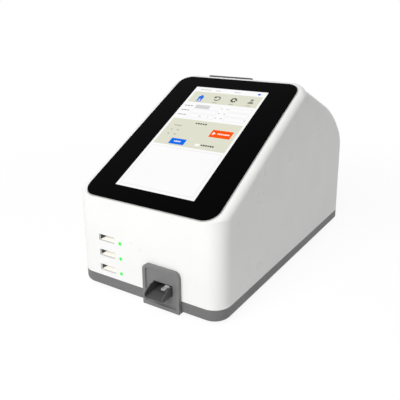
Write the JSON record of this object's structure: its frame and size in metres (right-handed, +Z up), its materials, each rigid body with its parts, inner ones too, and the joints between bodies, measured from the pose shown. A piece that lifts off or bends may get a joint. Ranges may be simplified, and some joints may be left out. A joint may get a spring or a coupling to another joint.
{
  "type": "fluorescence immunoassay analyzer",
  "caption": "Bench analyser with a sloping touch screen, a motor-driven test card tray, incubation slots with lamps and a receipt printer behind the ridge.",
  "frame": {"origin": "middle of the footprint, on the surface that the feet stand on", "axes": "+Z up, -Y out of the front where the card tray comes out, +X to the right seen from the front"},
  "size_m": [0.183, 0.3438, 0.2115],
  "materials": {
    "white_moulding": "satin gloss moulded ABS",
    "grey_moulding": "fine grain moulded ABS",
    "charcoal_moulding": "fine grain moulded plastic",
    "pale_moulding": "satin moulded plastic",
    "cover_glass": "polished, black-backed",
    "seal_foam": "soft foam",
    "screen": "screen module",
    "sheet_steel": "zinc-plated sheet",
    "bright_steel": "ground steel",
    "black_steel": "black coated",
    "aluminium": "milled",
    "black_aluminium": "black anodised",
    "brass": "machined",
    "soft_rubber": "moulded",
    "circuit_board": "solder mask",
    "card_bed": "cream moulded",
    "green_light": "clear, lit green",
    "optical_glass": "polished",
    "filter_glass": "polished",
    "paper": "thermal paper",
    "black_moulding": "moulded"
  },
  "bodies": {
    "housing": {"upper_housing": "white_moulding", "base_tray": "grey_moulding", "rubber_feet": "soft_rubber", "base_screws": "bright_steel", "cover_glass": "cover_glass", "glass_seal": "seal_foam", "display_panel": "screen", "display_bracket": "sheet_steel", "bracket_screws": "bright_steel", "door_surround": "grey_moulding", "tray_guide": "charcoal_moulding", "deck_plate": "sheet_steel", "deck_screws": "bright_steel", "tray_motor": "black_steel", "motor_mount": "sheet_steel", "reading_head": "black_aluminium", "objective_lens": "optical_glass", "emission_filter": "filter_glass", "excitation_lamp": "aluminium", "light_sensor": "circuit_board", "head_bridge": "sheet_steel", "slot_rack": "charcoal_moulding", "slot_beds": "card_bed", "slot_heaters": "aluminium", "status_lights": "green_light", "light_board": "circuit_board", "main_board": "circuit_board", "board_standoffs": "brass", "power_supply": "sheet_steel", "cooling_fan": "black_moulding", "power_inlet": "black_moulding", "inlet_pins": "brass", "switch_frame": "black_moulding", "usb_sockets": "bright_steel", "network_socket": "bright_steel", "printer_bucket": "charcoal_moulding", "lid_pin": "bright_steel", "print_head": "aluminium", "tear_bar": "bright_steel"},
    "card_tray": {"card_tray": "charcoal_moulding", "clip_pin": "bright_steel"},
    "card_clip": {"card_clip": "pale_moulding"},
    "tray_drive": {"tray_pinion": "brass", "motor_shaft": "bright_steel"},
    "printer_lid": {"printer_lid": "charcoal_moulding"},
    "platen": {"platen_roller": "soft_rubber", "platen_shaft": "bright_steel"},
    "paper_roll": {"paper_roll": "paper"},
    "fan": {"fan_rotor": "black_moulding"},
    "power_rocker": {"switch_rocker": "black_moulding"}
  },
  "joints": [
    {"name": "tray_slide", "type": "slide", "parent": "housing", "child": "card_tray", "axis": [0, -1, 0], "range_m": [0, 0.07]},
    {"name": "clip_hinge", "type": "hinge", "parent": "card_tray", "child": "card_clip", "pos_m": [0.0312, -0.1568, 0.0299], "axis": [-1, 0, 0], "range_deg": [0, 20], "stiffness_Nm_per_rad": 0.002, "springref_deg": -11.46},
    {"name": "drive_turn", "type": "hinge", "parent": "housing", "child": "tray_drive", "pos_m": [0.04672, -0.0641, 0.024], "axis": [0, 0, 1], "range_deg": [0, 501.4]},
    {"name": "lid_hinge", "type": "hinge", "parent": "housing", "child": "printer_lid", "pos_m": [-0.021, 0.10701, 0.18157], "axis": [-1, 0, 0], "range_deg": [0, 100]},
    {"name": "platen_turn", "type": "hinge", "parent": "printer_lid", "child": "platen", "pos_m": [-0.021, 0.06403, 0.19017], "axis": [1, 0, 0], "continuous": true},
    {"name": "roll_turn", "type": "hinge", "parent": "housing", "child": "paper_roll", "pos_m": [-0.021, 0.06821, 0.15975], "axis": [1, 0, 0], "continuous": true},
    {"name": "fan_turn", "type": "hinge", "parent": "housing", "child": "fan", "pos_m": [-0.042, 0.1599, 0.07851], "axis": [0, 1, 0], "continuous": true},
    {"name": "rocker_hinge", "type": "hinge", "parent": "housing", "child": "power_rocker", "pos_m": [0.058, 0.1665, 0.0785], "axis": [-1, 0, 0], "range_deg": [0, 16]}
  ],
  "couplings": [
    {"joint": "drive_turn", "follows": "tray_slide", "rad_per_m": 125},
    {"joint": "platen_turn", "follows": "roll_turn", "ratio": 4.6}
  ]
}
